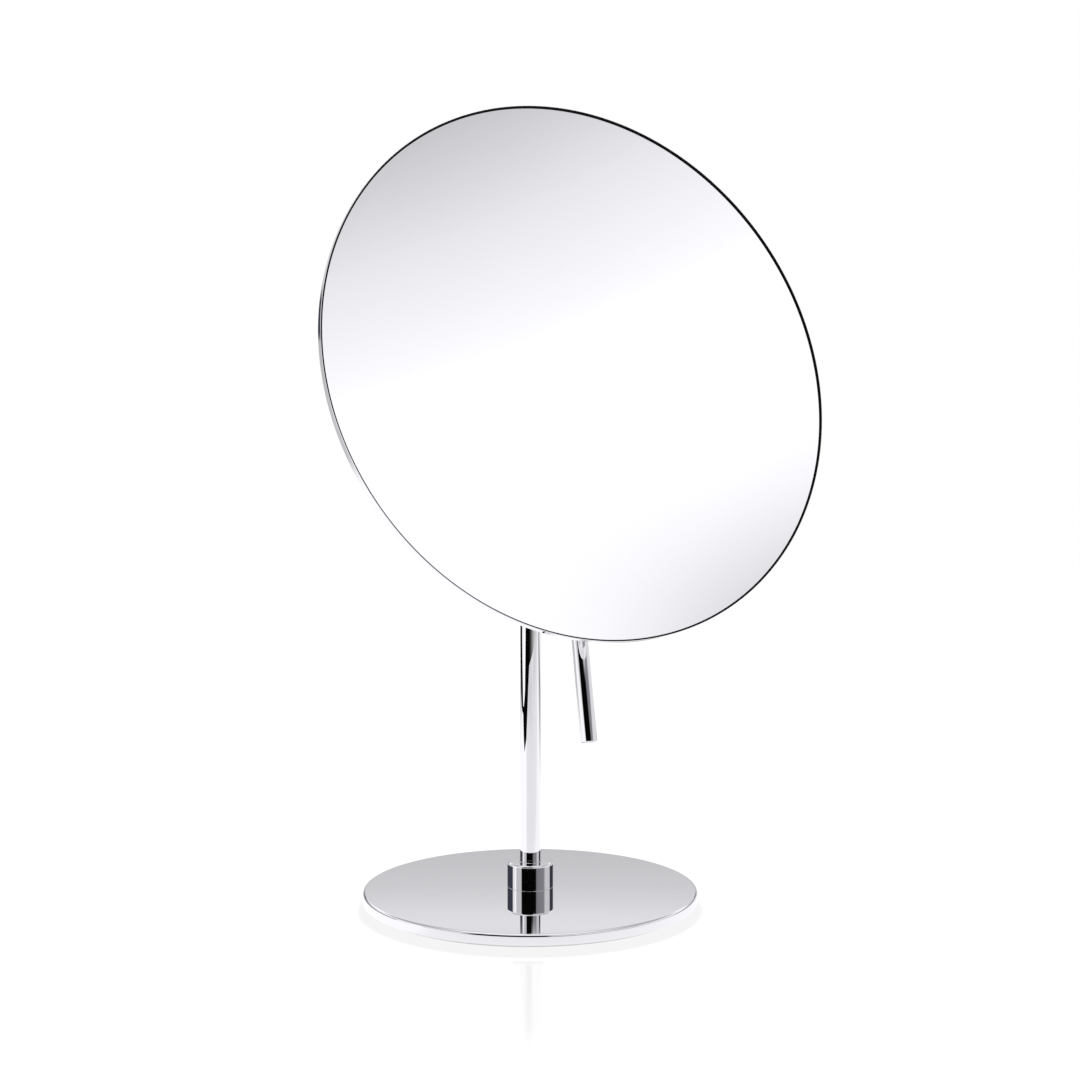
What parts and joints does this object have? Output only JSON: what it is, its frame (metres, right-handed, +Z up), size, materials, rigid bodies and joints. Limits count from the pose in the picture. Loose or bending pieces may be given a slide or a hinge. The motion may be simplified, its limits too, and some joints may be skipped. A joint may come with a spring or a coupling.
{
  "type": "extendable shaving mirror",
  "caption": "Free-standing round shaving mirror on a slim extendable post with a round foot, a swivel and tilt joint and a short rod handle below the mirror.",
  "frame": {"origin": "centre of the foot's underside, on the surface it stands on", "axes": "+Z up along the post, the mirror faces -Y and leans back 11 degrees, +X to the right of somebody standing behind the mirror"},
  "size_m": [0.2, 0.1382, 0.3006],
  "materials": {
    "chrome": "polished chrome plate",
    "mirror": "silvered glass, hollow ground, with a ground edge",
    "steel": "zinc-plated steel",
    "brass": "turned brass",
    "nylon": "natural nylon",
    "rubber": "milky non-slip pad",
    "foam": "adhesive foam tape"
  },
  "bodies": {
    "base": {"base_pad": "rubber", "base_plate": "chrome", "base_screw": "steel", "base_collar": "chrome", "collar_set_screw": "steel", "post_plug": "steel", "post_tube": "chrome", "guide_bush": "nylon", "tube_ferrule": "chrome"},
    "slider": {"inner_rod": "chrome", "rod_friction_ring": "nylon", "rod_stop_ring": "brass", "rod_end_screw": "steel", "rod_shoulder_ring": "chrome", "swivel_spring_washer": "steel", "swivel_washer": "steel", "swivel_screw": "steel"},
    "head": {"swivel_head": "chrome", "tilt_screw": "steel", "tilt_nut": "steel", "tilt_washer_left": "nylon", "tilt_washer_right": "nylon"},
    "mirror": {"tilt_arm": "chrome", "handle_stud": "steel", "handle_rod": "chrome", "mirror_flange": "chrome", "stiffener_plate": "steel", "flange_screw_1": "steel", "flange_screw_2": "steel", "flange_screw_3": "steel", "back_shell": "chrome", "foam_ring": "foam", "mirror_glass": "mirror"}
  },
  "joints": [
    {"name": "post_extend", "type": "slide", "parent": "base", "child": "slider", "axis": [0, 0, 1], "range_m": [0, 0.09]},
    {"name": "head_swivel", "type": "hinge", "parent": "slider", "child": "head", "pos_m": [0, 0, 0.178], "axis": [0, 0, 1], "continuous": true},
    {"name": "mirror_tilt", "type": "hinge", "parent": "head", "child": "mirror", "pos_m": [0, 0, 0.192], "axis": [-1, 0, 0], "range_deg": [-17, 64]}
  ]
}
